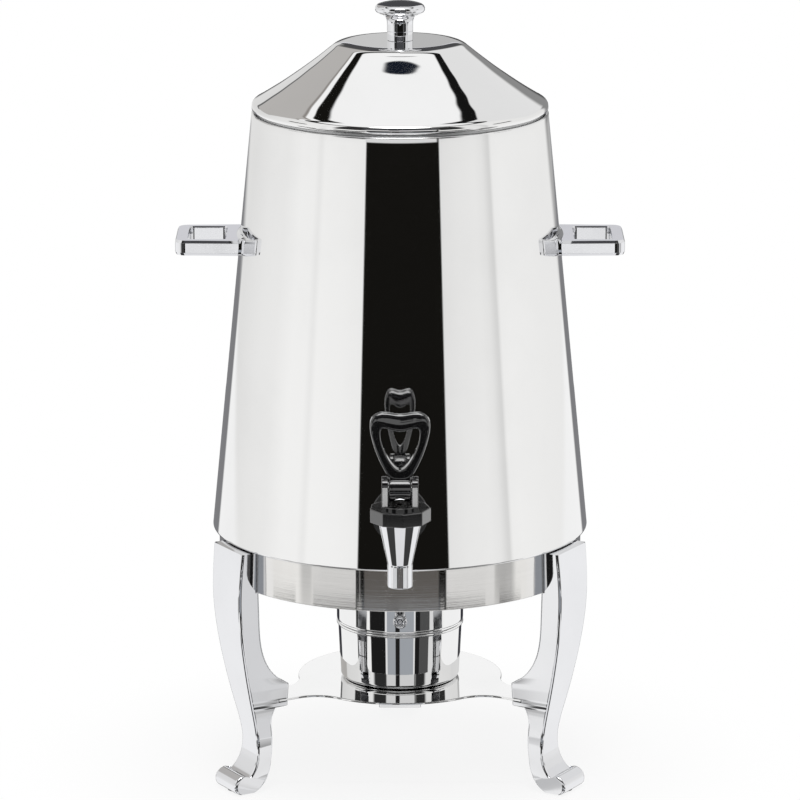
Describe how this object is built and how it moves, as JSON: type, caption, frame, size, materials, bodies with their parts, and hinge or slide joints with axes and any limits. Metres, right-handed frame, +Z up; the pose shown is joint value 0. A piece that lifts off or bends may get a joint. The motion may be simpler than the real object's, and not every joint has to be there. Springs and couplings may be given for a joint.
{
  "type": "hot water urn",
  "caption": "Tapered polished steel urn with a conical lid, loop handles and a lever tap, standing in a scroll-legged frame over a fuel burner on a shelf.",
  "frame": {"origin": "on the urn's upright axis at floor level, in the middle of the three feet", "axes": "+Z up along the urn's axis, -Y towards the tap, +X to the right as seen from the front"},
  "size_m": [0.3148, 0.3442, 0.5535],
  "materials": {
    "mirror_steel": "mirror-polished stainless steel",
    "satin_steel": "satin stainless steel, brushed round the band",
    "plain_steel": "plain mill-finish steel",
    "cast_chrome": "polished chrome plate on a casting",
    "black_plastic": "glossy black moulded plastic",
    "black_rubber": "black rubber gasket",
    "seal_rubber": "grey silicone"
  },
  "bodies": {
    "stand": {"support_ring": "satin_steel", "leg_front_left": "cast_chrome", "leg_front_right": "cast_chrome", "leg_rear": "cast_chrome", "leg_screws": "plain_steel", "leg_washers": "plain_steel", "foot_pads": "seal_rubber", "shelf_plate": "mirror_steel", "shelf_screws": "plain_steel"},
    "urn": {"urn_shell": "mirror_steel", "urn_base": "plain_steel", "handle_left": "cast_chrome", "handle_right": "cast_chrome", "handle_screws": "plain_steel", "handle_backings": "plain_steel", "tap_body": "cast_chrome", "tap_collar": "cast_chrome", "tap_outer_gasket": "black_rubber", "tap_inner_gasket": "seal_rubber", "tap_lock_nut": "plain_steel", "tap_bonnet": "black_plastic", "bonnet_seal": "seal_rubber", "lever_pin": "plain_steel", "valve_spring": "plain_steel"},
    "lid": {"lid_shell": "mirror_steel", "lid_skirt": "plain_steel", "lid_knob": "cast_chrome", "knob_washer": "plain_steel", "knob_screw": "plain_steel"},
    "tap_lever": {"tap_lever": "black_plastic"},
    "valve": {"valve_stem": "plain_steel", "seat_cup": "seal_rubber"},
    "burner": {"burner_cup": "mirror_steel", "burner_flame_plate": "plain_steel"},
    "burner_lid": {"burner_lid": "mirror_steel", "burner_knob": "cast_chrome"}
  },
  "joints": [
    {"name": "urn_lift", "type": "slide", "parent": "stand", "child": "urn", "axis": [0, 0, 1], "range_m": [0, 0.12]},
    {"name": "lid_lift", "type": "slide", "parent": "urn", "child": "lid", "axis": [0, 0, 1], "range_m": [0, 0.1]},
    {"name": "lever_pull", "type": "hinge", "parent": "urn", "child": "tap_lever", "pos_m": [0, -0.18001, 0.2489], "axis": [1, 0, 0], "range_deg": [0, 35], "stiffness_Nm_per_rad": 0.12, "springref_deg": -17.19},
    {"name": "valve_rise", "type": "slide", "parent": "urn", "child": "valve", "axis": [0, 0, 1], "range_m": [0, 0.005], "stiffness_N_per_m": 0.02, "springref_m": 2.53, "deforming": ["valve_spring"]},
    {"name": "burner_slide", "type": "slide", "parent": "stand", "child": "burner", "axis": [0, -1, 0], "range_m": [0, 0.2]},
    {"name": "burner_lid_turn", "type": "hinge", "parent": "burner", "child": "burner_lid", "pos_m": [0, 0, 0.12], "axis": [0, 0, 1], "range_deg": [0, 60]}
  ],
  "couplings": [
    {"joint": "valve_rise", "follows": "lever_pull", "m_per_rad": 0.00818}
  ]
}
